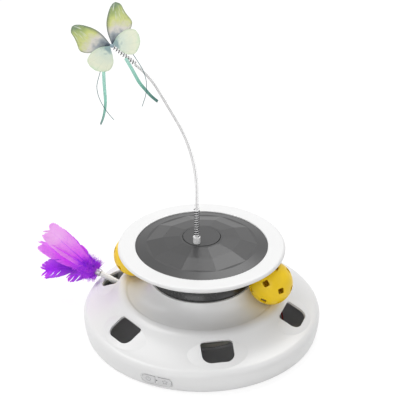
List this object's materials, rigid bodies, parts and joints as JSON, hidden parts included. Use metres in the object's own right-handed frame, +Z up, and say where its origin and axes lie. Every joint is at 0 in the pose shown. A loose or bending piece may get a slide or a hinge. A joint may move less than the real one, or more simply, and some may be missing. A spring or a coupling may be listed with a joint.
{
  "type": "electric turntable cat teaser",
  "caption": "Round base with windows and a ball track under a flared neck and top disc; a turning disc carries a sprung wire with a butterfly, and a feather wand sweeps from a window.",
  "frame": {"origin": "on the floor under the middle of the round base, at the level of the feet's soles", "axes": "+Z up along the neck; -Y to the front, where the control panel is; -X to the side where the feather wand leaves the base; +X to the right seen from the front"},
  "size_m": [0.3328, 0.2601, 0.3756],
  "materials": {
    "shell_white": "satin-gloss moulded plastic",
    "tray_grey": "moulded plastic",
    "dark_grey": "satin-gloss moulded plastic",
    "cover_grey": "satin-gloss moulded plastic",
    "frame_plastic": "moulded plastic",
    "gear_plastic": "moulded acetal",
    "steel": "ground steel",
    "motor_can": "drawn steel can with a plastic end",
    "brass": "machined brass",
    "screw_steel": "zinc-plated steel",
    "rubber": "moulded rubber",
    "ball_yellow": "moulded plastic",
    "bell_nickel": "nickel-plated steel",
    "spring_steel": "spring wire",
    "clear_sleeve": "clear soft tube",
    "plug_clear": "pale moulded plastic",
    "wing_print": "printed film",
    "wing_pale": "printed film",
    "ribbon_teal": "woven ribbon",
    "thread_teal": "twisted thread",
    "bead": "moulded bead",
    "feather": "dyed feather",
    "wand_white": "moulded plastic",
    "board_green": "circuit board with parts",
    "panel_grey": "moulded plastic",
    "button_grey": "soft-touch plastic",
    "lens_clear": "moulded clear plastic",
    "battery_wrap": "shrink-wrapped cells",
    "contact_nickel": "nickel-plated spring steel",
    "wire_red_black": "insulated wire"
  },
  "bodies": {
    "base": {"base_tray": "tray_grey", "top_shell": "shell_white", "neck_collar": "dark_grey", "disc_rim": "shell_white", "cover_dome": "cover_grey", "gear_plate_lower": "frame_plastic", "gear_plate_upper": "frame_plastic", "plate_pillars": "frame_plastic", "rotor_bushes": "brass", "butterfly_motor": "motor_can", "feather_motor": "motor_can", "carrier_retainer": "tray_grey", "small_screws": "screw_steel", "case_screws": "screw_steel", "rubber_feet": "rubber", "circuit_board": "board_green", "usb_socket": "contact_nickel", "button_board": "board_green", "button_switches": "button_grey", "control_panel": "panel_grey", "indicator_lens": "lens_clear", "battery_cells": "battery_wrap", "battery_contacts": "contact_nickel", "motor_leads": "wire_red_black", "battery_lead": "wire_red_black", "button_lead": "wire_red_black"},
    "door": {"battery_door": "tray_grey", "door_screws": "screw_steel"},
    "left_button": {"button_left": "button_grey"},
    "right_button": {"button_right": "button_grey"},
    "rotor": {"rotor_disc": "cover_grey", "rotor_shaft": "steel", "rotor_gear": "gear_plastic"},
    "rotor_drive": {"rotor_pinion": "brass", "butterfly_motor_shaft": "steel"},
    "plug": {"wire_plug": "plug_clear"},
    "wire": {"base_spring": "spring_steel", "lure_wire": "spring_steel", "wire_sleeve": "clear_sleeve", "tip_spring": "spring_steel", "butterfly_bead": "bead", "forewing_left": "wing_print", "forewing_right": "wing_print", "hindwing_left": "wing_pale", "hindwing_right": "wing_pale", "ribbon_left": "ribbon_teal", "ribbon_right": "ribbon_teal", "thread_left": "thread_teal", "thread_right": "thread_teal"},
    "carrier": {"feather_carrier": "gear_plastic", "wand_socket": "gear_plastic"},
    "carrier_drive": {"carrier_pinion": "brass", "feather_motor_shaft": "steel"},
    "wand": {"wand_tube": "wand_white", "feather_ferrule": "spring_steel", "feather_plumes": "feather"},
    "left_bell": {"bell_left": "bell_nickel"},
    "left_ball": {"ball_left": "ball_yellow"},
    "right_bell": {"bell_right": "bell_nickel"},
    "right_ball": {"ball_right": "ball_yellow"}
  },
  "joints": [
    {"name": "butterfly_spin", "type": "hinge", "parent": "base", "child": "rotor", "pos_m": [0, 0, 0.1], "axis": [0, 0, 1], "continuous": true},
    {"name": "rotor_pinion_spin", "type": "hinge", "parent": "base", "child": "rotor_drive", "pos_m": [0, 0.0192, 0.08], "axis": [0, 0, 1], "continuous": true},
    {"name": "lure_pull", "type": "slide", "parent": "rotor", "child": "plug", "axis": [0, 0, 1], "range_m": [0, 0.012]},
    {"name": "wire_sway", "type": "hinge", "parent": "plug", "child": "wire", "pos_m": [0, -0.0143, 0.1186], "axis": [0.357, -0.9341, 0], "range_deg": [-12, 12], "stiffness_Nm_per_rad": 0.15, "springref_deg": -0.86, "deforming": ["base_spring"]},
    {"name": "carrier_swing", "type": "hinge", "parent": "base", "child": "carrier", "pos_m": [0, 0, 0.0076], "axis": [0, 0, 1], "range_deg": [-6, 6]},
    {"name": "carrier_pinion_turn", "type": "hinge", "parent": "base", "child": "carrier_drive", "pos_m": [0.0435, 0, 0.0076], "axis": [0, 0, 1], "range_deg": [-41, 41]},
    {"name": "wand_pull", "type": "slide", "parent": "carrier", "child": "wand", "axis": [-0.9455, 0, 0.3256], "range_m": [0, 0.014]},
    {"name": "ball_left_orbit", "type": "hinge", "parent": "base", "child": "left_bell", "pos_m": [0, 0, 0.0696], "axis": [0, 0, 1], "range_deg": [-144, 144]},
    {"name": "ball_left_roll", "type": "hinge", "parent": "left_bell", "child": "left_ball", "pos_m": [-0.079, 0, 0.0696], "axis": [-1, 0, 0], "range_deg": [-485, 485]},
    {"name": "ball_right_orbit", "type": "hinge", "parent": "base", "child": "right_bell", "pos_m": [0, 0, 0.0696], "axis": [0, 0, 1], "range_deg": [-144, 144]},
    {"name": "ball_right_roll", "type": "hinge", "parent": "right_bell", "child": "right_ball", "pos_m": [0.079, 0, 0.0696], "axis": [1, 0, 0], "range_deg": [-485, 485]},
    {"name": "button_left_press", "type": "slide", "parent": "base", "child": "left_button", "axis": [0, 1, 0], "range_m": [0, 0.0008], "stiffness_N_per_m": 1500, "springref_m": -0.0004},
    {"name": "button_right_press", "type": "slide", "parent": "base", "child": "right_button", "axis": [0, 1, 0], "range_m": [0, 0.0008], "stiffness_N_per_m": 1500, "springref_m": -0.0004},
    {"name": "battery_door_lift", "type": "slide", "parent": "base", "child": "door", "axis": [0, 0, -1], "range_m": [0, 0.02]}
  ],
  "couplings": [
    {"joint": "rotor_pinion_spin", "follows": "butterfly_spin", "ratio": -3},
    {"joint": "carrier_pinion_turn", "follows": "carrier_swing", "ratio": 6.8},
    {"joint": "ball_left_roll", "follows": "ball_left_orbit", "ratio": -3.3617},
    {"joint": "ball_right_roll", "follows": "ball_right_orbit", "ratio": -3.3617}
  ]
}
